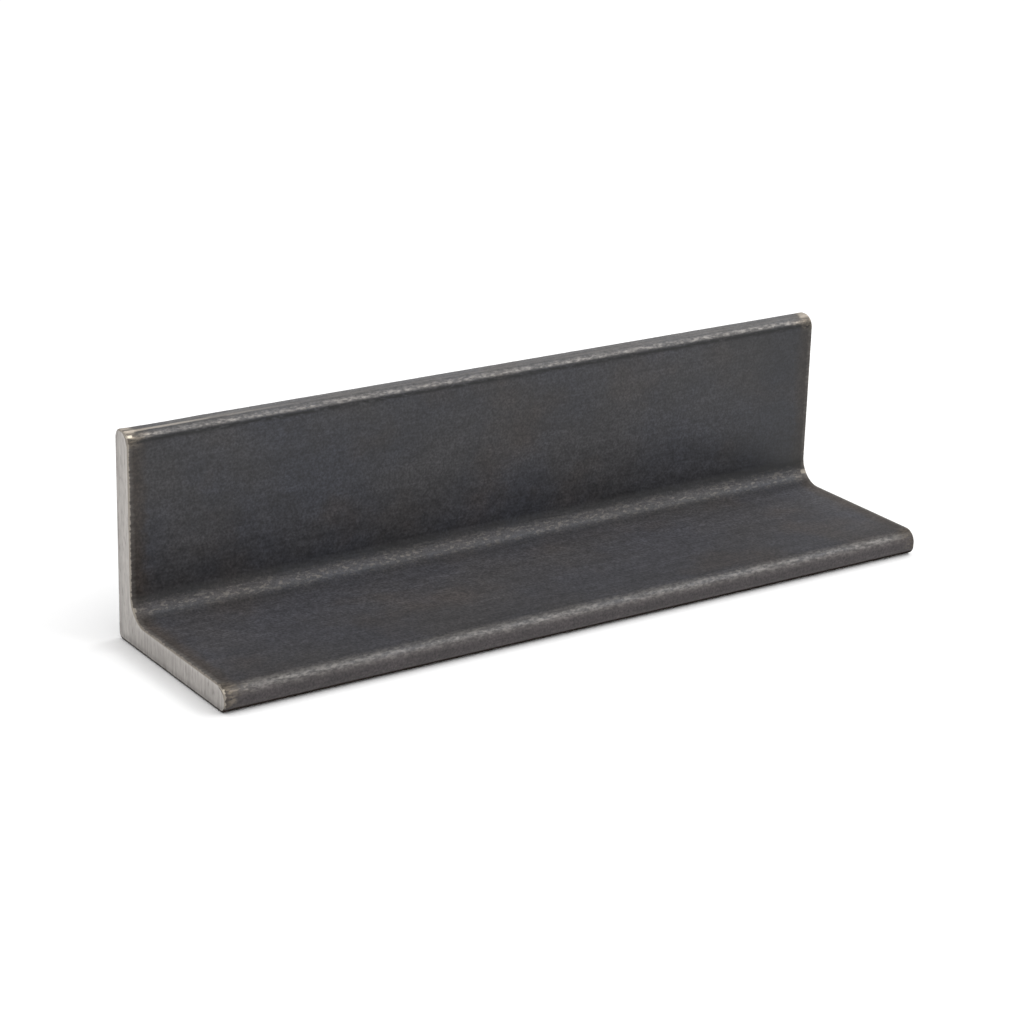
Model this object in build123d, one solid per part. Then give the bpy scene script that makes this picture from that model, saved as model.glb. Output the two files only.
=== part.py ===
from build123d import *
import os

# Hot-rolled steel equal angle, 2 x 2 x 1/4 in, sawn square to a short length.
#
# Frame, in millimetres: X runs along the bar and the origin is at mid-length, under the middle of
# the flat leg. The flat leg lies on the floor and reaches towards -Y. The upright leg stands at
# the back, with its outer face towards +Y. The two outer faces meet in the heel.

# Rolled section
leg = 50.8  # outside of the heel to the end of the toe, the same on both legs
thickness = 6.35
root_radius = 6.35  # the fillet in the inside corner, as large as the legs are thick
toe_inner_radius = 3.175  # the large round on the inner side of each toe
toe_outer_radius = 2.4  # the smaller round where the toe meets the outer face
heel_radius = 1.6  # the rolls leave the outside corner slightly blunt

# Cut length
length = 195.0
end_bevel = 0.4  # the saw burr is filed off all round both ends


def rolled_section():
    """The L of the bar: six corners, each with the radius that the rolls leave there."""
    heel_y = leg / 2
    toe_y = heel_y - leg
    root_y = heel_y - thickness
    corners = [
        ((heel_y, 0), heel_radius),
        ((toe_y, 0), toe_outer_radius),
        ((toe_y, thickness), toe_inner_radius),
        ((root_y, thickness), root_radius),
        ((root_y, leg), toe_inner_radius),
        ((heel_y, leg), toe_outer_radius),
    ]
    points, radii = zip(*corners)
    return make_face(FilletPolyline(*points, radius=radii, close=True))


def sawn_bar(section):
    """The section carried along X, cut square at both ends, with the cut edges filed."""
    bar = extrude(Plane.YZ * section, amount=length / 2, both=True)
    cut_edges = bar.faces().filter_by(Axis.X).edges()
    return chamfer(cut_edges, end_bevel)


angle_section = sawn_bar(rolled_section())
angle_section.label = "angle_section"

os.makedirs("parts", exist_ok=True)
export_step(angle_section, "parts/angle_section.step")
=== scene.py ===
import bpy
import math
from mathutils import Matrix, Vector


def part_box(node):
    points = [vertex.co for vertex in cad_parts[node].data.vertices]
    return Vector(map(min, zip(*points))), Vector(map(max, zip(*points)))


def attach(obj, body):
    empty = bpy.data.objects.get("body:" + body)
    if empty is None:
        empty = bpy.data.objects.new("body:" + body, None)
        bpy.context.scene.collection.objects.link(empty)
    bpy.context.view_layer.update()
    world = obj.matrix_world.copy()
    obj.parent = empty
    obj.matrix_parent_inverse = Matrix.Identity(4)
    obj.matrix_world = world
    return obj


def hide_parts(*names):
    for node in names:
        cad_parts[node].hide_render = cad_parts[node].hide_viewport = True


# A short length of hot-rolled steel angle, sawn square at both ends, lying on one leg.
# X runs along the bar, the flat leg reaches towards -Y and the upright leg stands at the back.
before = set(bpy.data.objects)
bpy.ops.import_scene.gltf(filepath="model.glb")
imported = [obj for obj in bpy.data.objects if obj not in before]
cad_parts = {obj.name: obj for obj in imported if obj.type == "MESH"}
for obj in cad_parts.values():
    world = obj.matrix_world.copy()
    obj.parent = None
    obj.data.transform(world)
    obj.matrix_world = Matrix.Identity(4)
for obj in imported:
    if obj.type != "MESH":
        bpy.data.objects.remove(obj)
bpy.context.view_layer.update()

# ---------------------------------------------------------------------------------------------
# The bar. One piece of mild steel, rolled red hot through shaped rolls, which leave rounded
# toes, a fillet in the inside corner and a skin of blue-grey mill scale. It was then cut to
# length in a band saw, and the burr was filed off all round both ends.

mm = 0.001

low, high = (Vector(corner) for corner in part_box("angle_section"))
length = high.x - low.x
heel = high.y  # where the outer face of the upright leg stands
toe = low.y  # where the flat leg ends
thickness = 6.35 * mm
root_radius = 6.35 * mm
toe_inner_radius = 3.175 * mm
toe_outer_radius = 2.4 * mm
heel_radius = 1.6 * mm
end_bevel = 0.4 * mm

nose = (toe_outer_radius + thickness - toe_inner_radius) / 2  # halfway up the end of a toe

# Each corner of the section: its place across the bar and above the floor, its radius, the
# steps round its arc, and the steps along the straight run after it. The inner chain of the
# outline, from one nose to the other, has as many steps as the outer chain.
toe_inner_steps, toe_outer_steps = 18, 12
root_steps, heel_steps = 26, 6
inner_run_steps, outer_run_steps = 14, 30
outline = [
    ((toe, low.z + nose), 0, 1, 1),
    ((toe, low.z + thickness), toe_inner_radius, toe_inner_steps, inner_run_steps),
    ((heel - thickness, low.z + thickness), root_radius, root_steps, inner_run_steps),
    ((heel - thickness, high.z), toe_inner_radius, toe_inner_steps, 1),
    ((heel - nose, high.z), 0, 1, 1),
    ((heel, high.z), toe_outer_radius, toe_outer_steps, outer_run_steps),
    ((heel, low.z), heel_radius, heel_steps, outer_run_steps),
    ((toe, low.z), toe_outer_radius, toe_outer_steps, 1),
]
root_corner, upper_toe_corner = 2, 3  # their rows in the outline
chain_steps = 2 + 2 * toe_inner_steps + 2 * inner_run_steps + root_steps

rings = 500  # along the bar
bevel_rings = 3  # round the filed edge at each end
steps_across = 8  # across the thickness, on the sawn faces

# Rolling draws each pattern out along the bar, and dragging the bar draws it out further.
rolled_stretch = (0.4, 1, 1)
dragged_stretch = (0.06, 1, 1)
# The upper toe was dragged along something by its near end. The marks are at their full
# strength up to the first of these places, and fade to a share of it by the second.
full_drag, faint_drag = low.x + 8 * mm, low.x + 45 * mm
faint_share = 0.25
noise_span = (0.3, 0.7)  # the values that nearly all of a noise pattern lies between


def add(tree, kind, inputs=(), **settings):
    """Adds a node with its settings, and a value, a node or a socket for each input. A tuple
    fills the inputs in order, so a Map Range takes a value, the two ends of its range, and
    what these become, which is 0 and 1 where it isn't given."""
    node = tree.nodes.new(kind)
    for name, value in settings.items():
        setattr(node, name, value)
    named = inputs if isinstance(inputs, dict) else dict(enumerate(inputs))
    usable = [socket for socket in node.inputs if socket.enabled]
    for key, value in named.items():
        socket = usable[key] if isinstance(key, int) else node.inputs[key]
        if isinstance(value, bpy.types.Node):
            value = next(out for out in value.outputs if out.enabled)
        if isinstance(value, bpy.types.NodeSocket):
            tree.links.new(value, socket)
        else:
            socket.default_value = value
    return node


def outline_mesh():
    """The corners of the section, joined in a ring, with what the tree needs at each."""
    mesh = bpy.data.meshes.new("section_corners")
    count = len(outline)
    points = [(y, z, 0) for (y, z), *rest in outline]
    mesh.from_pydata(points, [(i, (i + 1) % count) for i in range(count)], [])
    columns = (("radius", "FLOAT", 1), ("arc_steps", "INT", 2), ("run_steps", "INT", 3))
    for name, kind, column in columns:
        attribute = mesh.attributes.new(name, kind, "POINT")
        attribute.data.foreach_set("value", [corner[column] for corner in outline])
    return mesh


def rolling_tree():
    """Rolls the section out along the bar, sinks the scale's relief into it and closes its ends."""
    tree = bpy.data.node_groups.new("rolled_and_sawn_bar", "GeometryNodeTree")
    tree.interface.new_socket("Bar", in_out="OUTPUT", socket_type="NodeSocketGeometry")
    for kind, names in (
        ("NodeSocketGeometry", ("Section",)),
        ("NodeSocketFloat", ("Length", "End Bevel", "Wave Depth", "Wave Size", "Pebble Depth",
                             "Pebble Size", "Lap Depth", "Draw Mark Depth", "Draw Mark Pitch",
                             "Saw Wave Depth", "Saw Wave Pitch", "Seed")),
        ("NodeSocketMaterial", ("Scale Skin", "Shaded Scale", "Sawn Face")),
    ):
        for name in names:
            tree.interface.new_socket(name, in_out="INPUT", socket_type=kind)
    given = add(tree, "NodeGroupInput").outputs
    half = add(tree, "ShaderNodeMath", (given["Length"], 0.5), operation="MULTIPLY")
    number = add(tree, "GeometryNodeInputIndex")
    place = add(tree, "GeometryNodeInputPosition")

    # The section: arcs at the corners, even steps between them, and which way is outwards.
    curve = add(tree, "GeometryNodeMeshToCurve", (given["Section"],))
    curve = add(tree, "GeometryNodeStoreNamedAttribute",
                {"Geometry": curve, "Name": "corner", "Value": number}, data_type="INT")
    radius = add(tree, "GeometryNodeInputNamedAttribute", ("radius",), data_type="FLOAT")
    arc_steps = add(tree, "GeometryNodeInputNamedAttribute", ("arc_steps",), data_type="INT")
    curve = add(tree, "GeometryNodeFilletCurve",
                {"Curve": curve, "Radius": radius, "Count": arc_steps}, mode="POLY")
    corner = add(tree, "GeometryNodeInputNamedAttribute", ("corner",), data_type="INT")
    next_number = add(tree, "ShaderNodeMath", (number, 1), operation="ADD")
    next_corner = add(tree, "GeometryNodeSampleIndex",
                      {"Geometry": curve, "Value": corner, "Index": next_number}, data_type="INT")
    run_starts = add(tree, "FunctionNodeCompare", (corner, next_corner), data_type="INT",
                     operation="NOT_EQUAL")
    run_steps = add(tree, "GeometryNodeInputNamedAttribute", ("run_steps",), data_type="INT")
    cuts = add(tree, "ShaderNodeMath", (run_steps, -1), operation="ADD")
    cuts = add(tree, "ShaderNodeMath", (cuts, run_starts), operation="MULTIPLY")
    tangent = add(tree, "GeometryNodeInputTangent")
    outward = add(tree, "ShaderNodeVectorMath", ((0, 0, 1), tangent), operation="CROSS_PRODUCT")
    parts = add(tree, "ShaderNodeSeparateXYZ", (outward,)).outputs
    outward = add(tree, "ShaderNodeCombineXYZ", (0, parts["X"], parts["Y"]))
    # How rounded it is there: 1 in the middle of an arc, and 0 on the flats.
    turn = add(tree, "ShaderNodeMath", (parts["X"], parts["Y"]), operation="MULTIPLY")
    turn = add(tree, "ShaderNodeMath", (turn,), operation="ABSOLUTE")
    turn = add(tree, "ShaderNodeMath", (turn, 2), operation="MULTIPLY")
    is_root = add(tree, "FunctionNodeCompare", (corner, root_corner), data_type="INT",
                  operation="EQUAL")
    not_root = add(tree, "ShaderNodeMath", (1, is_root), operation="SUBTRACT")
    in_root = add(tree, "ShaderNodeMath", (turn, is_root), operation="MULTIPLY")
    on_edge = add(tree, "ShaderNodeMath", (turn, not_root), operation="MULTIPLY")
    # Where the two rolls met, the upper toe has a lap: a nick just where its round begins.
    is_upper = add(tree, "FunctionNodeCompare", (corner, upper_toe_corner), data_type="INT",
                   operation="EQUAL")
    lap = add(tree, "ShaderNodeMapRange", (parts["Y"], 0.02, 0.3),
              interpolation_type="SMOOTHSTEP")
    lap_end = add(tree, "ShaderNodeMapRange", (parts["Y"], 0.3, 0.6, 1.0, 0.0),
                  interpolation_type="SMOOTHSTEP")
    for factor in (lap_end, is_upper):
        lap = add(tree, "ShaderNodeMath", (lap, factor), operation="MULTIPLY")
    for name, kind, value in (("outward", "FLOAT_VECTOR", outward), ("lap", "FLOAT", lap),
                              ("root_round", "FLOAT", in_root), ("edge_round", "FLOAT", on_edge)):
        curve = add(tree, "GeometryNodeStoreNamedAttribute",
                    {"Geometry": curve, "Name": name, "Value": value}, data_type=kind)
    section = add(tree, "GeometryNodeSubdivideCurve", {"Curve": curve, "Cuts": cuts})

    # The path: rings close together round the filed edge at each end, and evenly between.
    path = add(tree, "GeometryNodeCurvePrimitiveLine", {"Start": (-1, 0, 0), "End": (1, 0, 0)})
    path = add(tree, "GeometryNodeResampleCurve", {"Curve": path, "Count": rings})
    from_far_end = add(tree, "ShaderNodeMath", (rings - 1, number), operation="SUBTRACT")
    ring = add(tree, "ShaderNodeMath", (number, from_far_end), operation="MINIMUM")
    bevel_ring = add(tree, "ShaderNodeMath", (ring, bevel_rings), operation="MINIMUM")
    bevel_step = add(tree, "ShaderNodeMath", (given["End Bevel"], bevel_rings), operation="DIVIDE")
    bevel_run = add(tree, "ShaderNodeMath", (bevel_ring, bevel_step), operation="MULTIPLY")
    even_ring = add(tree, "ShaderNodeMath", (ring, bevel_ring), operation="SUBTRACT")
    even_length = add(tree, "ShaderNodeMath", (half, given["End Bevel"]), operation="SUBTRACT")
    even_step = add(tree, "ShaderNodeMath", (even_length, (rings - 1) / 2 - bevel_rings),
                    operation="DIVIDE")
    from_end = add(tree, "ShaderNodeMath", (even_ring, even_step, bevel_run),
                   operation="MULTIPLY_ADD")
    reach = add(tree, "ShaderNodeMath", (half, from_end), operation="SUBTRACT")
    side = add(tree, "ShaderNodeMath", (number, from_far_end), operation="SUBTRACT")
    side = add(tree, "ShaderNodeMath", (side,), operation="SIGN")
    along = add(tree, "ShaderNodeMath", (reach, side), operation="MULTIPLY")
    along = add(tree, "ShaderNodeCombineXYZ", (along, 0, 0))
    path = add(tree, "GeometryNodeSetPosition", {"Geometry": path, "Position": along})
    path = add(tree, "GeometryNodeSetCurveTilt", {"Curve": path, "Tilt": math.pi})
    skin = add(tree, "GeometryNodeCurveToMesh", {"Curve": path, "Profile Curve": section})
    skin = add(tree, "GeometryNodeFlipFaces", (skin,))

    # The filed edge: towards each end the skin draws in, ever more steeply.
    outward = add(tree, "GeometryNodeInputNamedAttribute", ("outward",), data_type="FLOAT_VECTOR")
    spot = add(tree, "ShaderNodeSeparateXYZ", (place,)).outputs
    from_middle = add(tree, "ShaderNodeMath", (spot["X"],), operation="ABSOLUTE")
    from_end = add(tree, "ShaderNodeMath", (half, from_middle), operation="SUBTRACT")
    skin = add(tree, "GeometryNodeStoreNamedAttribute",
               {"Geometry": skin, "Name": "from_end", "Value": from_end}, data_type="FLOAT")
    filed = add(tree, "ShaderNodeMapRange", (from_end, given["End Bevel"], 0))
    filed = add(tree, "ShaderNodeMath", (filed, 2), operation="POWER")
    filed = add(tree, "ShaderNodeMath", (filed, given["End Bevel"]), operation="MULTIPLY")

    # The relief, all of it sunk into the bar: long waves from the rolls, pebbles on the rounds,
    # the lap, and draw marks along the top of the upper toe where it was dragged by its near end.
    patterns = []
    for size, stretch, lowest, highest in (("Wave Size", rolled_stretch, *noise_span),
                                           ("Pebble Size", rolled_stretch, *noise_span),
                                           ("Draw Mark Pitch", dragged_stretch, 0.35, 0.65)):
        stretched = add(tree, "ShaderNodeVectorMath", (place, stretch), operation="MULTIPLY")
        fineness = add(tree, "ShaderNodeMath", (1, given[size]), operation="DIVIDE")
        noise = add(tree, "ShaderNodeTexNoise",
                    {"Vector": stretched, "W": given["Seed"], "Scale": fineness, "Detail": 2.0},
                    noise_dimensions="4D")
        patterns.append(add(tree, "ShaderNodeMapRange", (noise, lowest, highest)))
    wave, pebble, draw = patterns
    wave = add(tree, "ShaderNodeMath", (wave, given["Wave Depth"]), operation="MULTIPLY")
    edge, root, lap = (add(tree, "GeometryNodeInputNamedAttribute", (name,), data_type="FLOAT")
                       for name in ("edge_round", "root_round", "lap"))
    rounded = add(tree, "ShaderNodeMath", (edge, root), operation="ADD")
    rounded = add(tree, "ShaderNodeMath", (rounded, given["Pebble Depth"]), operation="MULTIPLY")
    relief = add(tree, "ShaderNodeMath", (pebble, rounded, wave), operation="MULTIPLY_ADD")
    ragged = add(tree, "ShaderNodeMapRange", (pebble, 0.1, 0.9, 0.4, 1.3))
    lap = add(tree, "ShaderNodeMath", (lap, ragged), operation="MULTIPLY")
    relief = add(tree, "ShaderNodeMath", (lap, given["Lap Depth"], relief),
                 operation="MULTIPLY_ADD")
    on_top = add(tree, "ShaderNodeMapRange", (spot["Z"], high.z - 3 * mm, high.z - 1.5 * mm))
    dragged = add(tree, "ShaderNodeMapRange", (spot["X"], faint_drag, full_drag, faint_share, 1))
    for factor in (on_top, dragged):
        draw = add(tree, "ShaderNodeMath", (draw, factor), operation="MULTIPLY")
    relief = add(tree, "ShaderNodeMath", (draw, given["Draw Mark Depth"], relief),
                 operation="MULTIPLY_ADD")
    fade = add(tree, "ShaderNodeMapRange", (from_end, given["End Bevel"], 3 * mm),
               interpolation_type="SMOOTHSTEP")
    sink = add(tree, "ShaderNodeMath", (relief, fade, filed), operation="MULTIPLY_ADD")
    sink = add(tree, "ShaderNodeMath", (sink, -1), operation="MULTIPLY")
    shift = add(tree, "ShaderNodeVectorMath", {"Vector": outward, "Scale": sink}, operation="SCALE")
    skin = add(tree, "GeometryNodeSetPosition", {"Geometry": skin, "Offset": shift})

    # Under the lower rounds and the lower edge of each cut the scale gets painted shade: a dark,
    # matt finish for the contact shadow where the bar meets the table.
    down = add(tree, "ShaderNodeSeparateXYZ", (outward,)).outputs["Z"]
    turned_down = add(tree, "FunctionNodeCompare", (down, -0.5), data_type="FLOAT",
                      operation="LESS_THAN")
    on_round = add(tree, "FunctionNodeCompare", (down, -0.99), data_type="FLOAT",
                   operation="GREATER_THAN")
    at_cut = add(tree, "FunctionNodeCompare", (from_end, given["End Bevel"]), data_type="FLOAT",
                 operation="LESS_THAN")
    shaded = add(tree, "FunctionNodeBooleanMath", (on_round, at_cut), operation="OR")
    shaded = add(tree, "FunctionNodeBooleanMath", (shaded, turned_down), operation="AND")
    skin = add(tree, "GeometryNodeStoreNamedAttribute",
               {"Geometry": skin, "Name": "shaded", "Value": shaded}, data_type="BOOLEAN",
               domain="FACE")

    # A sawn face: rungs from the inner chain of the section to the outer one, and on them the
    # shallow waves that the saw left, which die out towards the rim.
    face = add(tree, "GeometryNodeMeshGrid",
               {"Vertices X": chain_steps + 1, "Vertices Y": steps_across + 1})
    rung = add(tree, "ShaderNodeMath", (number, steps_across + 1), operation="DIVIDE")
    rung = add(tree, "ShaderNodeMath", (rung,), operation="FLOOR")
    step = add(tree, "ShaderNodeMath", (number, steps_across + 1), operation="MODULO")
    step = add(tree, "ShaderNodeMath", (step, steps_across), operation="DIVIDE")
    back_rung = add(tree, "ShaderNodeMath", (2 * chain_steps, rung), operation="SUBTRACT")
    back_rung = add(tree, "ShaderNodeMath", (back_rung, 2 * chain_steps), operation="MODULO")
    inset = add(tree, "ShaderNodeMath", (given["End Bevel"], -1), operation="MULTIPLY")
    inset = add(tree, "ShaderNodeVectorMath", {"Vector": outward, "Scale": inset},
                operation="SCALE")
    flat = add(tree, "ShaderNodeCombineXYZ", (0, spot["X"], spot["Y"]))
    flat = add(tree, "ShaderNodeVectorMath", (flat, inset), operation="ADD")
    inner, outer = (add(tree, "GeometryNodeSampleIndex",
                        {"Geometry": section, "Value": flat, "Index": index},
                        data_type="FLOAT_VECTOR") for index in (rung, back_rung))
    on_rung = add(tree, "ShaderNodeMix", (step, inner, outer), data_type="VECTOR")
    far_rung = add(tree, "ShaderNodeMath", (chain_steps, rung), operation="SUBTRACT")
    from_nose = add(tree, "ShaderNodeMath", (rung, far_rung), operation="MINIMUM")
    from_nose = add(tree, "ShaderNodeMapRange", (from_nose, 0, toe_inner_steps))
    far_step = add(tree, "ShaderNodeMath", (1, step), operation="SUBTRACT")
    from_rim = add(tree, "ShaderNodeMath", (step, far_step), operation="MINIMUM")
    from_rim = add(tree, "ShaderNodeMapRange", (from_rim, 0, 0.5))
    fineness = add(tree, "ShaderNodeMath", (1, given["Saw Wave Pitch"]), operation="DIVIDE")
    saw_line = add(tree, "ShaderNodeVectorMath", (on_rung, (0, 1, 0.06)), operation="MULTIPLY")
    saw_wave = add(tree, "ShaderNodeTexNoise",
                   {"Vector": saw_line, "W": given["Seed"], "Scale": fineness, "Detail": 1.0},
                   noise_dimensions="4D")
    for factor in (from_rim, from_nose, given["Saw Wave Depth"]):
        saw_wave = add(tree, "ShaderNodeMath", (saw_wave, factor), operation="MULTIPLY")
    cut = add(tree, "ShaderNodeMath", (half, saw_wave), operation="SUBTRACT")
    cut = add(tree, "ShaderNodeCombineXYZ", (cut, 0, 0))
    on_face = add(tree, "ShaderNodeVectorMath", (on_rung, cut), operation="ADD")
    face = add(tree, "GeometryNodeSetPosition", {"Geometry": face, "Position": on_face})
    face = add(tree, "GeometryNodeStoreNamedAttribute",
               {"Geometry": face, "Name": "across", "Value": step}, data_type="FLOAT")
    face = add(tree, "GeometryNodeFlipFaces", (face,))
    face = add(tree, "GeometryNodeStoreNamedAttribute",
               {"Geometry": face, "Name": "sawn", "Value": True}, data_type="BOOLEAN",
               domain="FACE")
    mirrored = add(tree, "ShaderNodeVectorMath", (place, (-1, 1, 1)), operation="MULTIPLY")
    other = add(tree, "GeometryNodeSetPosition", {"Geometry": face, "Position": mirrored})
    other = add(tree, "GeometryNodeFlipFaces", (other,))

    # Skin and faces joined into one closed shell, smooth but for the arris round each sawn face,
    # which bends more than any rounded corner does from one step to the next.
    bar = add(tree, "GeometryNodeJoinGeometry")
    for piece in (skin, face, other):
        tree.links.new(piece.outputs[0], bar.inputs[0])
    bar = add(tree, "GeometryNodeMergeByDistance", {"Geometry": bar, "Distance": 0.001 * mm})
    bar = add(tree, "GeometryNodeSetShadeSmooth", {"Geometry": bar, "Shade Smooth": True})
    bend = add(tree, "GeometryNodeInputMeshEdgeAngle").outputs["Unsigned Angle"]
    arris = add(tree, "FunctionNodeCompare", (bend, math.radians(29)), operation="GREATER_THAN")
    bar = add(tree, "GeometryNodeSetShadeSmooth",
              {"Geometry": bar, "Selection": arris, "Shade Smooth": False}, domain="EDGE")
    bar = add(tree, "GeometryNodeRealizeInstances", (bar,))
    bar = add(tree, "GeometryNodeSetMaterial", {"Geometry": bar, "Material": given["Scale Skin"]})
    for part, finish in (("shaded", "Shaded Scale"), ("sawn", "Sawn Face")):
        chosen = add(tree, "GeometryNodeInputNamedAttribute", (part,), data_type="BOOLEAN")
        bar = add(tree, "GeometryNodeSetMaterial",
                  {"Geometry": bar, "Selection": chosen, "Material": given[finish]})
    add(tree, "NodeGroupOutput", (bar,))
    return tree


def roll_bar(name, mesh, tree, values):
    """Runs the tree on the section with the given inputs, and keeps its result as a plain mesh."""
    bar = bpy.data.objects.new(name, mesh)
    bpy.context.scene.collection.objects.link(bar)
    rolling = bar.modifiers.new("rolling", "NODES")
    rolling.node_group = tree
    for item in tree.interface.items_tree:
        if item.name in values and item.in_out == "INPUT":
            rolling[item.identifier] = values[item.name]
    evaluated = bar.evaluated_get(bpy.context.evaluated_depsgraph_get())
    rolled = bpy.data.meshes.new_from_object(evaluated)
    while None in rolled.materials[:]:  # the empty slot that the bare section brought along
        rolled.materials.pop(index=rolled.materials[:].index(None))
    bar.modifiers.remove(rolling)
    bar.data = rolled
    return bar


def colour(code):
    """An sRGB hex colour as the linear colour that the nodes take."""
    channels = [int(code[i:i + 2], 16) / 255 for i in (1, 3, 5)]
    return [c / 12.92 if c <= 0.04045 else ((c + 0.055) / 1.055) ** 2.4 for c in channels] + [1.0]


def new_material(name):
    """A material with no nodes yet, and its tree."""
    material = bpy.data.materials.new(name)
    material.use_nodes = True
    material.node_tree.nodes.clear()
    return material, material.node_tree


def mill_scale():
    """Mill scale, the oxide skin that hot rolling leaves: near black with a blue or brown cast and
    a soft gloss. It is burnished and finely pebbled along the rounded toes, dulled by dust where
    it lies face up, and browned beside the cuts, where the filed edge shows bare steel."""
    material, tree = new_material("hot_rolled_mill_scale")
    place = add(tree, "ShaderNodeTexCoord").outputs["Object"]
    spot = add(tree, "ShaderNodeSeparateXYZ", (place,)).outputs
    rolled_out = add(tree, "ShaderNodeVectorMath", (place, rolled_stretch), operation="MULTIPLY")
    dragged_out = add(tree, "ShaderNodeVectorMath", (place, dragged_stretch), operation="MULTIPLY")
    edge, root, lap, from_end = (
        add(tree, "ShaderNodeAttribute", attribute_name=name).outputs["Fac"]
        for name in ("edge_round", "root_round", "lap", "from_end"))
    outward = add(tree, "ShaderNodeAttribute", attribute_name="outward").outputs["Vector"]
    facing = add(tree, "ShaderNodeSeparateXYZ", (outward,)).outputs

    # Patches, tints, clouds and mottle come from how the bar cooled, streaks and scratches from
    # what it slid over. A crystal of the scale is a few hundredths of a millimetre across, and a
    # scratch, pebble, rubbed speck or tick one to three tenths. All five are drawn coarser here,
    # so that they show.
    patch = add(tree, "ShaderNodeTexNoise", {"Vector": place, "Scale": 1 / (26 * mm),
                                             "Detail": 3.0})
    tint = add(tree, "ShaderNodeTexNoise", {"Vector": place, "Scale": 1 / (17 * mm),
                                            "Detail": 4.0, "W": 4.0}, noise_dimensions="4D")
    cloud = add(tree, "ShaderNodeTexNoise", {"Vector": rolled_out, "Scale": 1 / (6 * mm),
                                             "Detail": 3.0, "Roughness": 0.6})
    mottle = add(tree, "ShaderNodeTexNoise", {"Vector": place, "Scale": 1 / (2.2 * mm),
                                              "Detail": 4.0, "Roughness": 0.6})
    streak = add(tree, "ShaderNodeTexNoise", {"Vector": dragged_out, "Scale": 1 / (1.7 * mm),
                                              "Detail": 2.0})
    scratch = add(tree, "ShaderNodeTexNoise", {"Vector": dragged_out, "Scale": 1 / (0.6 * mm),
                                               "Detail": 2.0})
    grain = add(tree, "ShaderNodeTexNoise", {"Vector": place, "Scale": 1 / (0.55 * mm),
                                             "Detail": 2.0})
    pebble = add(tree, "ShaderNodeTexNoise", {"Vector": rolled_out, "Scale": 1 / (0.65 * mm),
                                              "Detail": 1.0, "W": 8.0}, noise_dimensions="4D")
    rub = add(tree, "ShaderNodeTexNoise", {"Vector": rolled_out, "Scale": 1 / (0.55 * mm),
                                           "Detail": 2.0, "Roughness": 0.6, "W": 2.0},
              noise_dimensions="4D")
    tick = add(tree, "ShaderNodeTexNoise", {"Vector": rolled_out, "Scale": 1 / (0.8 * mm),
                                            "Detail": 1.0})

    # Which part of the bar this is: the toes, which every roll and rack touches, the upper face
    # of the flat leg, which lies under dust, the sheltered side of the fillet, the underside, the
    # back, and the far half of the bar.
    upper_toe = add(tree, "ShaderNodeMapRange", (spot["Z"], high.z - 4.0 * mm, high.z - 2.6 * mm))
    lower_toe = add(tree, "ShaderNodeMapRange", (spot["Y"], toe + 4.0 * mm, toe + 2.6 * mm))
    on_toe = add(tree, "ShaderNodeMath", (upper_toe, lower_toe), operation="MAXIMUM")
    face_up = add(tree, "ShaderNodeMapRange", (facing["Z"], 0.72, 0.9))
    on_top = add(tree, "ShaderNodeMath", (face_up, upper_toe), operation="MULTIPLY")
    low_down = add(tree, "ShaderNodeMapRange", (spot["Z"], 14 * mm, 10 * mm))
    dusty = add(tree, "ShaderNodeMath", (face_up, low_down), operation="MULTIPLY")
    # Masks for painted shade, and for the gloss: the sheltered side of the fillet, and what faces
    # down.
    sheltered = add(tree, "ShaderNodeMapRange", (facing["Z"], 0.45, 0.2))
    sheltered = add(tree, "ShaderNodeMath", (sheltered, root), operation="MULTIPLY")
    underneath = add(tree, "ShaderNodeMapRange", (facing["Z"], -0.65, -0.8))
    behind = add(tree, "ShaderNodeMapRange", (facing["Y"], 0.0, 0.4))
    rounded = add(tree, "ShaderNodeMath", (edge, root), operation="ADD")
    far = add(tree, "ShaderNodeMath", (spot["X"], 0.0), operation="GREATER_THAN")
    far_low = add(tree, "ShaderNodeMath", (far, lower_toe), operation="MULTIPLY")
    # What faces the open side: the upright leg above the fillet, and the nosing of the lower toe.
    standing = add(tree, "ShaderNodeMapRange", (facing["Y"], -0.7, -0.9))
    raised = add(tree, "ShaderNodeMapRange", (spot["Z"], 8 * mm, 11 * mm))
    not_raised = add(tree, "ShaderNodeMath", (1, raised), operation="SUBTRACT")
    nosing = add(tree, "ShaderNodeMath", (not_raised, standing), operation="MULTIPLY")
    upright = add(tree, "ShaderNodeMath", (standing, raised), operation="MULTIPLY")

    # Colour: slate, bluer or browner in patches, brown beside the cuts, and under a film of dust.
    blueness = add(tree, "ShaderNodeMapRange", (patch, 0.38, 0.62))
    brownness = add(tree, "ShaderNodeMapRange", (tint, 0.52, 0.7, 0, 0.5))
    ragged_end = add(tree, "ShaderNodeMath", (mottle, 4 * mm, from_end), operation="MULTIPLY_ADD")
    singed = add(tree, "ShaderNodeMapRange", (ragged_end, 3.6 * mm, 7.5 * mm, 0.9, 0),
                 interpolation_type="SMOOTHSTEP")
    film = add(tree, "ShaderNodeMath", (dusty, 0.25), operation="MULTIPLY")
    tone = colour("#323133")
    for amount, cast in ((blueness, "#2f3036"), (brownness, "#3a332f"), (singed, "#38312c"),
                         (film, "#353130"), (nosing, "#363132")):
        tone = add(tree, "ShaderNodeMix", (amount, tone, colour(cast)), data_type="RGBA")

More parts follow.
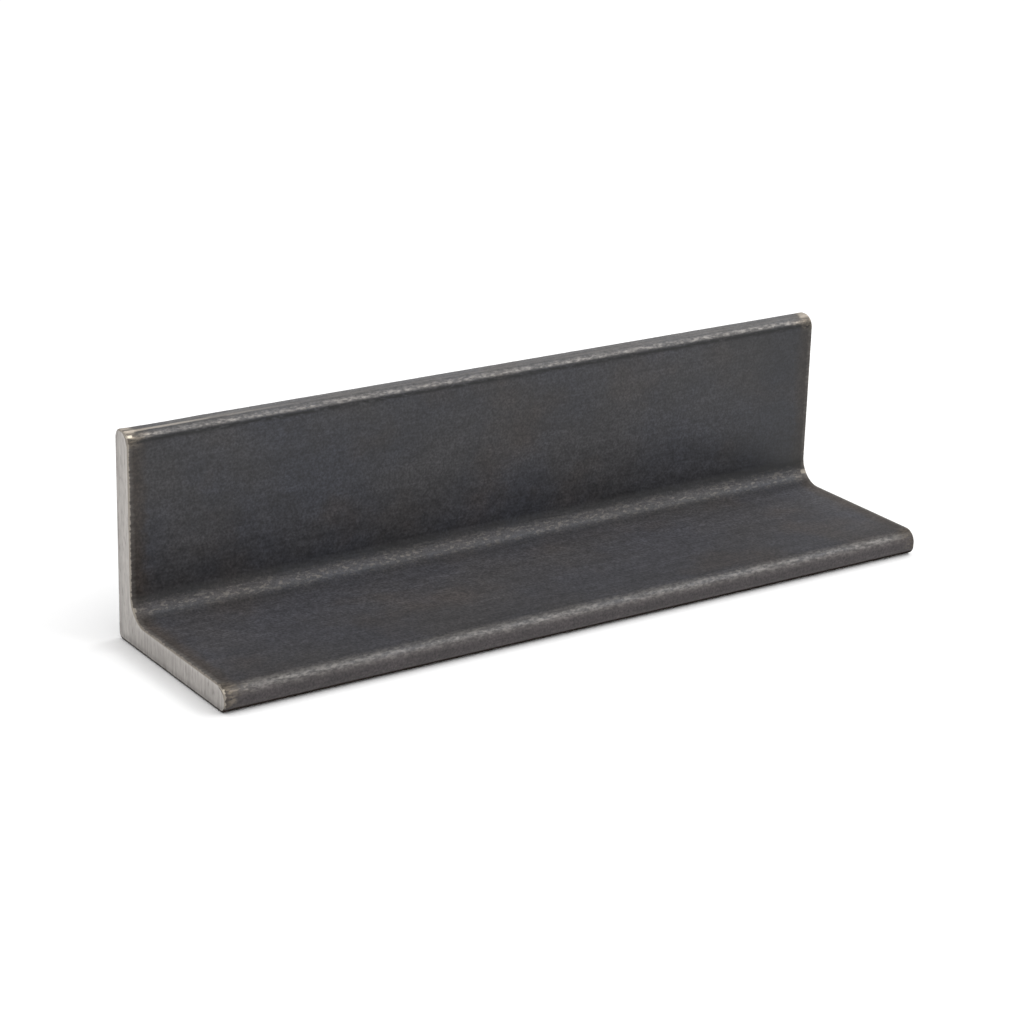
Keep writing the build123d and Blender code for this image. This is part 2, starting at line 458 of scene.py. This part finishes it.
    # Two lines drawn along the top by whatever the bar was dragged over, one bright, one sooty.
    dragged = add(tree, "ShaderNodeMapRange", (spot["X"], faint_drag, full_drag, faint_share, 1))
    flat_top = add(tree, "ShaderNodeMath", (on_top, dragged), operation="MULTIPLY")
    wander = add(tree, "ShaderNodeMath", (streak, 0.8 * mm, spot["Y"]), operation="MULTIPLY_ADD")
    drag_lines = []
    for inward, strength in ((3.85 * mm, 0.85), (4.45 * mm, -0.4)):
        off_line = add(tree, "ShaderNodeMath", (wander, heel - inward), operation="SUBTRACT")
        off_line = add(tree, "ShaderNodeMath", (off_line,), operation="ABSOLUTE")
        drag_lines.append(add(tree, "ShaderNodeMapRange",
                              (off_line, 0.2 * mm, 0.5 * mm, strength, 0)))
    bright_line = add(tree, "ShaderNodeMath", (drag_lines[0], flat_top), operation="MULTIPLY")
    sooty_line = add(tree, "ShaderNodeMath", (drag_lines[1], flat_top, 1),
                     operation="MULTIPLY_ADD")

    # How light it is: where dust lies, painted light towards the corner and painted shade
    # towards the toe and down in the fillet; uneven in each pattern; painted shade in the lap,
    # on what faces down and on the sheltered side of the fillet.
    painted_flat_shading = add(tree, "ShaderNodeMapRange", (spot["Y"], heel - 46 * mm, heel - 18 * mm, -0.12, 0.47))
    painted_flat_shading = add(tree, "ShaderNodeMath", (root, -0.7, painted_flat_shading), operation="MULTIPLY_ADD")
    shade = add(tree, "ShaderNodeMath", (painted_flat_shading, dusty, 1), operation="MULTIPLY_ADD")
    # Painted shade along the lap's groove, ragged along its length.
    lap_painted_shade = add(tree, "ShaderNodeMapRange", (pebble, 0.25, 0.5, 0.1, 0.95))
    lap_painted_shade = add(tree, "ShaderNodeMath", (lap_painted_shade, lap), operation="MULTIPLY")
    factors = [sooty_line, add(tree, "ShaderNodeMapRange", (cloud, 0.35, 0.65, 0.88, 1.12))]
    for pattern, swing in ((mottle, 0.22), (grain, 0.42), (scratch, 0.14), (streak, 0.07)):
        factors.append(add(tree, "ShaderNodeMapRange",
                           (pattern, *noise_span, 1 - swing, 1 + swing)))
    # Painted shade on what faces down towards the table and on the sheltered side of the fillet.
    for part, change in ((lap_painted_shade, -1), (underneath, -0.6), (sheltered, -0.6),
                         (singed, -0.16), (nosing, 0.06)):
        factors.append(add(tree, "ShaderNodeMath", (part, change, 1), operation="MULTIPLY_ADD"))
    # The upright gets painted light halfway up and painted shade near its top, at its foot
    # by the fillet and towards its far end.
    waist, crown, foot, painted_shade = (
        add(tree, "ShaderNodeMapRange", limits, interpolation_type="SMOOTHSTEP")
        for limits in ((spot["Z"], 18 * mm, 25 * mm, 1, 1.16),
                       (spot["Z"], 28 * mm, 38 * mm, 1, 0.87),
                       (spot["Z"], 11 * mm, 16 * mm, -0.35, 0),
                       (spot["X"], 60 * mm, 92 * mm, 0, -0.4)))
    painted_shade = add(tree, "ShaderNodeMath", (painted_shade, foot), operation="ADD")
    upright_painted_shade = add(tree, "ShaderNodeMath", (painted_shade, upright, 1), operation="MULTIPLY_ADD")
    for factor in (*factors, waist, crown, upright_painted_shade):
        shade = add(tree, "ShaderNodeMath", (shade, factor), operation="MULTIPLY")
    tone = add(tree, "ShaderNodeVectorMath", {"Vector": tone, "Scale": shade}, operation="SCALE")

    # Wear: on the rounds the scale is rubbed through in specks, more so near the ends.
    near_end = add(tree, "ShaderNodeMapRange", (ragged_end, 2.5 * mm, 11 * mm, 1, 0),
                   interpolation_type="SMOOTHSTEP")
    near_end = add(tree, "ShaderNodeMath", (near_end, on_toe), operation="MULTIPLY")
    spread = add(tree, "ShaderNodeMath", (far_low, -1.2, 0.8), operation="MULTIPLY_ADD")
    spread = add(tree, "ShaderNodeMath", (near_end, spread, 1), operation="MULTIPLY_ADD")
    spread = add(tree, "ShaderNodeMath", (upper_toe, 0.2, spread), operation="MULTIPLY_ADD")
    crest_power = add(tree, "ShaderNodeMath", (upper_toe, 2, 2), operation="MULTIPLY_ADD")
    on_crest = add(tree, "ShaderNodeMath", (edge, crest_power), operation="POWER")
    facing_out = add(tree, "ShaderNodeMapRange", (facing["Z"], 0.9, 0.62, 0.45, 1.3))
    above_lap = add(tree, "ShaderNodeMath", (near_end, 0.16, facing["Z"]), operation="MULTIPLY_ADD")
    above_lap = add(tree, "ShaderNodeMapRange", (above_lap, 0.44, 0.57))
    facing_out = add(tree, "ShaderNodeMath", (facing_out, above_lap), operation="MULTIPLY")
    facing_out = add(tree, "ShaderNodeMix", (upper_toe, 1.0, facing_out), data_type="FLOAT")
    worn = add(tree, "ShaderNodeMapRange", (rub, 0.42, 0.64, 0.14, 0.5))
    for factor in (on_crest, facing_out, spread):
        worn = add(tree, "ShaderNodeMath", (worn, factor), operation="MULTIPLY")
    in_root = add(tree, "ShaderNodeMapRange", (rub, 0.52, 0.62, 0, 0.25))
    deep = add(tree, "ShaderNodeMath", (root, 3), operation="POWER")
    higher_up = add(tree, "ShaderNodeMapRange", (facing["Z"], 0.86, 0.62, 0.3, 1.3))
    for factor in (deep, higher_up):
        in_root = add(tree, "ShaderNodeMath", (in_root, factor), operation="MULTIPLY")
    worn = add(tree, "ShaderNodeMath", (worn, in_root), operation="ADD")
    # On the flat of the upper toe it is thin all over, and gone in long streaks.
    streaked = add(tree, "ShaderNodeMapRange", (streak, 0.46, 0.56, 0, 0.5))
    streaked = add(tree, "ShaderNodeMath", (streaked, flat_top), operation="MULTIPLY")
    thin_scale = add(tree, "ShaderNodeMapRange", (rub, 0.35, 0.65, 0.04, 0.26))
    thin_scale = add(tree, "ShaderNodeMath", (thin_scale, on_top), operation="MULTIPLY")
    for bared in (streaked, bright_line, thin_scale):
        worn = add(tree, "ShaderNodeMath", (worn, bared), operation="MAXIMUM")
    worn = add(tree, "ShaderNodeMath", (worn, sooty_line), operation="MULTIPLY")
    # The last few millimetres of each toe are dressed bright, and the edge of the cut is rubbed.
    dressed = add(tree, "ShaderNodeMapRange", (ragged_end, 3.6 * mm, 6.0 * mm, 0.75, 0),
                  interpolation_type="SMOOTHSTEP")
    patchy = add(tree, "ShaderNodeMapRange", (rub, 0.38, 0.62, 0, 0.7))
    patchy = add(tree, "ShaderNodeMath", (patchy, on_top), operation="MAXIMUM")
    less_far = add(tree, "ShaderNodeMath", (far_low, -0.35, 1), operation="MULTIPLY_ADD")
    for factor in (patchy, on_toe, less_far):
        dressed = add(tree, "ShaderNodeMath", (dressed, factor), operation="MULTIPLY")
    edge_rub = add(tree, "ShaderNodeMath", (tick, 1.0 * mm, from_end), operation="MULTIPLY_ADD")
    edge_rub = add(tree, "ShaderNodeMapRange", (edge_rub, 1.0 * mm, 2.0 * mm, 0.3, 0))
    for bared in (dressed, edge_rub):
        worn = add(tree, "ShaderNodeMath", (worn, bared), operation="MAXIMUM")
    # Furrows on the top stay dark, and nothing rubs what faces down or back.
    furrow = add(tree, "ShaderNodeMapRange", (scratch, 0.48, 0.4, 1, 0.3))
    furrow = add(tree, "ShaderNodeMix", (flat_top, 1.0, furrow), data_type="FLOAT")
    not_below = add(tree, "ShaderNodeMapRange", (facing["Z"], -0.5, -0.1))
    not_behind = add(tree, "ShaderNodeMapRange", (facing["Y"], 0.7, 0.2))
    in_reach = add(tree, "ShaderNodeMath", (not_below, not_behind), operation="MULTIPLY")
    for factor in (furrow, in_reach):
        worn = add(tree, "ShaderNodeMath", (worn, factor), operation="MULTIPLY")
    browner = add(tree, "ShaderNodeMath", (root, 0.5, near_end), operation="MULTIPLY_ADD")
    steel = add(tree, "ShaderNodeMix", (browner, colour("#9a9692"), colour("#8c8275")),
                data_type="RGBA")
    polished = add(tree, "ShaderNodeMath", (dressed, on_top), operation="MULTIPLY")
    polished = add(tree, "ShaderNodeMath", (bright_line, 0.5, polished),
                   operation="MULTIPLY_ADD", use_clamp=True)
    steel = add(tree, "ShaderNodeMix", (polished, steel, colour("#c4baad")), data_type="RGBA")
    tone = add(tree, "ShaderNodeMix", (worn, tone, steel), data_type="RGBA")

    # The filed edge is still bright on the open side only. Beside it the scale is scorched in dark
    # ticks, and the crest of each round ends in a bright nick, but for the far ends of the toes.
    scorched = add(tree, "ShaderNodeMapRange", (tick, 0.2, 0.65, 0.15, 0.6))
    by_cut = add(tree, "ShaderNodeMapRange", (from_end, 0.7 * mm, 1.8 * mm, 1, 0))
    lying = add(tree, "ShaderNodeMath", (dusty, 0.6, upper_toe), operation="MULTIPLY_ADD")
    not_lying = add(tree, "ShaderNodeMath", (1, lying), operation="SUBTRACT", use_clamp=True)
    for factor in (by_cut, not_lying):
        scorched = add(tree, "ShaderNodeMath", (scorched, factor), operation="MULTIPLY")
    tone = add(tree, "ShaderNodeMix", (scorched, tone, colour("#241d19")), data_type="RGBA")
    ragged_cut = add(tree, "ShaderNodeMath", (tick, 0.8 * mm, from_end), operation="MULTIPLY_ADD")
    filed = add(tree, "ShaderNodeMapRange", (ragged_cut, 0.6 * mm, 0.8 * mm, 0.8, 0),
                interpolation_type="SMOOTHSTEP")
    reach = add(tree, "ShaderNodeMath", (upper_toe, 1.1 * mm, 0.4 * mm), operation="MULTIPLY_ADD")
    in_corner = add(tree, "ShaderNodeMath", (far, 1.2 * mm, 0.3 * mm), operation="MULTIPLY_ADD")
    reach = add(tree, "ShaderNodeMath", (root, in_corner, reach), operation="MULTIPLY_ADD")
    nick = add(tree, "ShaderNodeMath", (ragged_cut, reach), operation="SUBTRACT")
    nick = add(tree, "ShaderNodeMapRange", (nick, 0.3 * mm, 0.6 * mm, 1, 0))
    off_crest = add(tree, "ShaderNodeMath", (root, 0.12, facing["Z"]), operation="MULTIPLY_ADD")
    off_crest = add(tree, "ShaderNodeMath", (off_crest, 0.67), operation="SUBTRACT")
    off_crest = add(tree, "ShaderNodeMath", (off_crest,), operation="ABSOLUTE")
    off_crest = add(tree, "ShaderNodeMath", (lower_toe, -0.05, off_crest),
                    operation="MULTIPLY_ADD")
    crest = add(tree, "ShaderNodeMapRange", (off_crest, 0.1, 0.06))
    far_toe = add(tree, "ShaderNodeMath", (far, on_toe), operation="MULTIPLY")
    spared = add(tree, "ShaderNodeMath", (1, far_toe), operation="SUBTRACT")
    dimmed = add(tree, "ShaderNodeMath", (root, -0.5, 1), operation="MULTIPLY_ADD")
    for factor in (crest, rounded, spared, dimmed):
        nick = add(tree, "ShaderNodeMath", (nick, factor), operation="MULTIPLY")
    filed = add(tree, "ShaderNodeMath", (filed, nick), operation="MAXIMUM")
    filed = add(tree, "ShaderNodeMath", (filed, in_reach), operation="MULTIPLY")
    bright = add(tree, "ShaderNodeMix", (nick, colour("#9c958c"), colour("#bdb5a6")),
                 data_type="RGBA")
    tone = add(tree, "ShaderNodeMix", (filed, tone, bright), data_type="RGBA")
    bare = add(tree, "ShaderNodeMath", (filed, worn), operation="MAXIMUM")

    # Gloss: duller under dust and in the corner. The depths of the bump are in metres.
    rough = add(tree, "ShaderNodeMapRange", (mottle, *noise_span, 0.35, 0.43))
    for part, change in ((dusty, 0.38), (sheltered, 0.35), (underneath, -0.1), (behind, 0.1),
                         (on_toe, 0.1), (root, 0.1), (nick, -0.03)):
        rough = add(tree, "ShaderNodeMath", (part, change, rough), operation="MULTIPLY_ADD")
    relief = add(tree, "ShaderNodeMath", (grain, 0.012 * mm), operation="MULTIPLY")
    coarse = add(tree, "ShaderNodeMath", (edge, 0.22 * mm), operation="MULTIPLY")
    coarse = add(tree, "ShaderNodeMath", (root, 0.14 * mm, coarse), operation="MULTIPLY_ADD")
    drawn = add(tree, "ShaderNodeMath", (flat_top, 0.25 * mm), operation="MULTIPLY")
    for pattern, depth in ((pebble, coarse), (streak, drawn)):
        relief = add(tree, "ShaderNodeMath", (pattern, depth, relief), operation="MULTIPLY_ADD")
    bump = add(tree, "ShaderNodeBump", {"Height": relief, "Distance": 1.0, "Strength": 1.0})
    surface = add(tree, "ShaderNodeBsdfPrincipled",
                  {"Base Color": tone, "Roughness": rough, "Metallic": bare,
                   "Specular IOR Level": 0.42, "Normal": bump})
    add(tree, "ShaderNodeOutputMaterial", (surface,))
    return material


def painted_contact_shade():
    """Painted shade: the scale under the lower rounds and the lower edges of the cuts, made matt
    and nearly black, so the bar meets the table in a dark line of painted contact shadow."""
    material, tree = new_material("painted_contact_shade_scale")
    place = add(tree, "ShaderNodeTexCoord").outputs["Object"]
    painted_shade = add(tree, "ShaderNodeTexNoise", {"Vector": place, "Scale": 1 / (1.5 * mm),
                                            "Detail": 3.0})
    tone = add(tree, "ShaderNodeMix", (painted_shade, colour("#2b2623"), colour("#3b3531")),
               data_type="RGBA")
    # Towards the flat underside the painted shade fades out into the plain scale's tone.
    outward = add(tree, "ShaderNodeAttribute", attribute_name="outward").outputs["Vector"]
    down = add(tree, "ShaderNodeSeparateXYZ", (outward,)).outputs["Z"]
    pressed = add(tree, "ShaderNodeMapRange", (down, -0.91, -0.995))
    tone = add(tree, "ShaderNodeMix", (pressed, tone, colour("#4c4b4b")), data_type="RGBA")
    rough = add(tree, "ShaderNodeMapRange", (painted_shade, 0, 1, 0.75, 0.95))
    bump = add(tree, "ShaderNodeBump", {"Height": painted_shade, "Distance": 0.05 * mm, "Strength": 1.0})
    surface = add(tree, "ShaderNodeBsdfPrincipled",
                  {"Base Color": tone, "Roughness": rough, "Specular IOR Level": 0.0,
                   "Normal": bump})
    add(tree, "ShaderNodeOutputMaterial", (surface,))
    return material


def sawn_steel():
    """Bare mild steel from a band saw: satin grey, lined with short marks along the blade's path,
    and dark brown in a fine line where the cut breaks out through the scale, with painted shade
    along its lower edge and towards its outer rim and a painted highlight inside its inner rim."""
    material, tree = new_material("band_sawn_mild_steel")
    place = add(tree, "ShaderNodeTexCoord").outputs["Object"]
    spot = add(tree, "ShaderNodeSeparateXYZ", (place,)).outputs
    across = add(tree, "ShaderNodeAttribute", attribute_name="across").outputs["Fac"]
    # The blade went straight down. Its teeth leave lines 0.1 to 0.2 mm apart, drawn coarser here
    # so that they show, some short and some from edge to edge.
    short_cut = add(tree, "ShaderNodeVectorMath", (place, (1, 1, 0.3)), operation="MULTIPLY")
    long_cut = add(tree, "ShaderNodeVectorMath", (place, (1, 1, 0.04)), operation="MULTIPLY")
    line = add(tree, "ShaderNodeTexNoise", {"Vector": short_cut, "Scale": 1 / (0.8 * mm),
                                            "Detail": 2.0})
    grain = add(tree, "ShaderNodeTexNoise", {"Vector": short_cut, "Scale": 1 / (0.6 * mm),
                                             "Detail": 2.0})
    groove = add(tree, "ShaderNodeTexNoise", {"Vector": long_cut, "Scale": 1 / (0.45 * mm),
                                              "Detail": 2.0})
    grime = add(tree, "ShaderNodeTexNoise", {"Vector": place, "Scale": 1 / (5 * mm),
                                             "Detail": 4.0, "Roughness": 0.6})
    tone = add(tree, "ShaderNodeMix", (grime, colour("#a49f9b"), colour("#b0aca8")),
               data_type="RGBA")
    # Painted highlight just inside the inner rim, and painted shade towards the outer one.
    shade = add(tree, "ShaderNodeMapRange", (line, 0.3, 0.42, 0.74, 1))
    for limits in ((grain, *noise_span, 0.92, 1.08), (groove, *noise_span, 0.82, 1.1),
                   (across, 0.05, 0.2, 1.12, 1), (across, 0.7, 0.95, 1, 0.72)):
        factor = add(tree, "ShaderNodeMapRange", limits)
        shade = add(tree, "ShaderNodeMath", (shade, factor), operation="MULTIPLY")
    tone = add(tree, "ShaderNodeVectorMath", {"Vector": tone, "Scale": shade}, operation="SCALE")
    # The blade broke out at the outer faces and left them dark, with painted contact shade added
    #     # towards the bottom, and it turned a fine dark burr round the toes.
    from_heel = add(tree, "ShaderNodeMath", (heel, spot["Y"]), operation="SUBTRACT")
    from_outside = add(tree, "ShaderNodeMath", (from_heel, spot["Z"]), operation="MINIMUM")
    break_out_and_contact_shade = add(tree, "ShaderNodeMath", (grain, 0.3 * mm, from_outside),
                    operation="MULTIPLY_ADD")
    break_out_and_contact_shade = add(tree, "ShaderNodeMapRange", (break_out_and_contact_shade, 1.0 * mm, 0.7 * mm, 0, 0.9),
                    interpolation_type="SMOOTHSTEP")
    # Painted contact shade: the break-out darkens more towards the bottom, where the bar meets the
    # table.
    lower_edge = add(tree, "ShaderNodeMapRange", (spot["Z"], 6 * mm, 2 * mm, 0.4, 1))
    break_out_and_contact_shade = add(tree, "ShaderNodeMath", (break_out_and_contact_shade, lower_edge), operation="MULTIPLY")
    in_upper = add(tree, "ShaderNodeMapRange", (spot["Z"], high.z - 3.2 * mm, high.z - 2.2 * mm))
    in_lower = add(tree, "ShaderNodeMapRange", (spot["Y"], toe + 3.2 * mm, toe + 2.2 * mm))
    in_toe = add(tree, "ShaderNodeMath", (in_upper, in_lower), operation="MAXIMUM")
    burr = add(tree, "ShaderNodeMapRange", (across, 0.07, 0.03, 0, 0.8))
    burr = add(tree, "ShaderNodeMath", (burr, in_toe), operation="MULTIPLY")
    dark = add(tree, "ShaderNodeMath", (break_out_and_contact_shade, burr), operation="MAXIMUM")
    tone = add(tree, "ShaderNodeMix", (dark, tone, colour("#302a26")), data_type="RGBA")
    rough = add(tree, "ShaderNodeMapRange", (line, 0, 1, 0.5, 0.36))
    relief = add(tree, "ShaderNodeMath", (line, groove), operation="ADD")
    bump = add(tree, "ShaderNodeBump", {"Height": relief, "Distance": 0.03 * mm, "Strength": 1.0})
    surface = add(tree, "ShaderNodeBsdfPrincipled",
                  {"Base Color": tone, "Roughness": rough, "Metallic": 1.0, "Normal": bump})
    add(tree, "ShaderNodeOutputMaterial", (surface,))
    return material


bar = roll_bar("rolled_angle_bar", outline_mesh(), rolling_tree(), {
    "Length": length,
    "End Bevel": end_bevel,
    "Wave Depth": 0.025 * mm,
    "Wave Size": 14 * mm,
    "Pebble Depth": 0.06 * mm,
    "Pebble Size": 1.0 * mm,
    "Lap Depth": 0.1 * mm,
    "Draw Mark Depth": 0.1 * mm,
    "Draw Mark Pitch": 1.7 * mm,
    "Saw Wave Depth": 0.03 * mm,
    "Saw Wave Pitch": 3.0 * mm,
    "Seed": 7.0,
    "Scale Skin": mill_scale(),
    "Shaded Scale": painted_contact_shade(),
    "Sawn Face": sawn_steel(),
})
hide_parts("angle_section")
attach(bar, "root")

# ---------------------------------------------------------------------------------------------
# The table. A sheet of matt white laminate, far larger than the bar and flat under it, pressed
# from white paper and resin. It carries the bar's shadow, and the lamps light it evenly.


def seen(tree):
    """1 where a ray looks at the white itself, straight or in a reflection, and 0 where it only
    gathers light from it."""
    ray = add(tree, "ShaderNodeLightPath").outputs
    mirrored = add(tree, "ShaderNodeMath", (ray["Is Glossy Ray"], ray["Is Transmission Ray"]),
                   operation="MAXIMUM")
    return add(tree, "ShaderNodeMath", (ray["Is Camera Ray"], mirrored), operation="MAXIMUM")


def white_laminate():
    """Matt white laminate: an even white with no gloss, a little greyer in the light that it
    throws back on the bar. Out past the lamps it is seen as white as the tent behind it."""
    material, tree = new_material("matt_white_laminate")
    looked_at = seen(tree)
    tone = add(tree, "ShaderNodeMix", (looked_at, colour("#e0e0e0"), colour("#ffffff")),
               data_type="RGBA")
    surface = add(tree, "ShaderNodeBsdfDiffuse", {"Color": tone})
    place = add(tree, "ShaderNodeTexCoord").outputs["Object"]
    far_off = add(tree, "ShaderNodeVectorMath", (place,), operation="LENGTH").outputs["Value"]
    far_off = add(tree, "ShaderNodeMapRange", (far_off, 0.5, 1.0),
                  interpolation_type="SMOOTHSTEP")
    far_off = add(tree, "ShaderNodeMath", (far_off, looked_at), operation="MULTIPLY")
    white = add(tree, "ShaderNodeEmission", {"Color": (1, 1, 1, 1), "Strength": 1.0})
    surface = add(tree, "ShaderNodeMixShader", (far_off, surface, white))
    add(tree, "ShaderNodeOutputMaterial", (surface,))
    return material


table_size = 8.0
side = table_size / 2
table_mesh = bpy.data.meshes.new("white_table")
table_mesh.from_pydata([(-side, -side, 0), (side, -side, 0), (side, side, 0), (-side, side, 0)],
                       [], [(0, 1, 2, 3)])
table_mesh.materials.append(white_laminate())
table = bpy.data.objects.new("white_table", table_mesh)
bpy.context.scene.collection.objects.link(table)

# ---------------------------------------------------------------------------------------------
# The light. A white tent all round, and three square soft lamps: a faint one overhead, one on
# the right that throws the bar's soft shadow to the left, and one to the front right that draws
# a bright line along each rounded toe.

world = bpy.data.worlds.new("white_tent")
world.use_nodes = True
world.node_tree.nodes.clear()
tent_light = 0.89  # what the tent gives the bar, though it is seen as pure white
strength = add(world.node_tree, "ShaderNodeMix", (seen(world.node_tree), tent_light, 1.0),
               data_type="FLOAT")
tent = add(world.node_tree, "ShaderNodeBackground", {"Color": (1, 1, 1, 1), "Strength": strength})
add(world.node_tree, "ShaderNodeOutputWorld", (tent,))
bpy.context.scene.world = world


def lamp(name, towards, distance, size, radiance):
    """A square soft lamp that faces the bar from the given side."""
    light = bpy.data.lights.new(name, "AREA")
    light.shape = "SQUARE"
    light.size = size
    light.energy = radiance * math.pi * size ** 2
    holder = bpy.data.objects.new(name, light)
    direction = Vector(towards).normalized()
    holder.location = direction * distance
    holder.rotation_euler = direction.to_track_quat("Z", "Y").to_euler()
    bpy.context.scene.collection.objects.link(holder)


lamp("overhead_lamp", towards=(0.2, 0.16, 0.97), distance=2.8, size=2.1, radiance=0.3)
lamp("side_lamp", towards=(0.72, 0.05, 0.69), distance=2.6, size=1.4, radiance=2.6)
lamp("toe_lamp", towards=(0.52, -0.48, 0.72), distance=2.4, size=1.2, radiance=2.9)

# ---------------------------------------------------------------------------------------------
# The camera. It looks down on the open side of the bar from the front left, a little tilted,
# at a point halfway up the bar and near its middle.

azimuth = math.radians(-34.183)
elevation = math.radians(20.081)
roll = math.radians(1.593)
distance = 673.736 * mm
aim = Vector((-6.992, 0.4, 22.083)) * mm
focal_pixels = 2858.32
frame_pixels = 1024
sensor = 36.0

camera_data = bpy.data.cameras.new("camera")
camera_data.sensor_width = sensor
camera_data.lens = focal_pixels / frame_pixels * sensor
camera_data.clip_start = 0.01
camera_data.clip_end = 20
camera = bpy.data.objects.new("camera", camera_data)
bpy.context.scene.collection.objects.link(camera)
back = Vector((math.sin(azimuth) * math.cos(elevation), -math.cos(azimuth) * math.cos(elevation),
               math.sin(elevation)))
level = Vector((math.cos(azimuth), math.sin(azimuth), 0))
right = math.cos(roll) * level + math.sin(roll) * back.cross(level)
axes = Matrix((right, back.cross(right), back)).transposed()
camera.matrix_world = Matrix.Translation(aim + distance * back) @ axes.to_4x4()
bpy.context.scene.camera = camera
bpy.context.scene.view_settings.view_transform = "Standard"
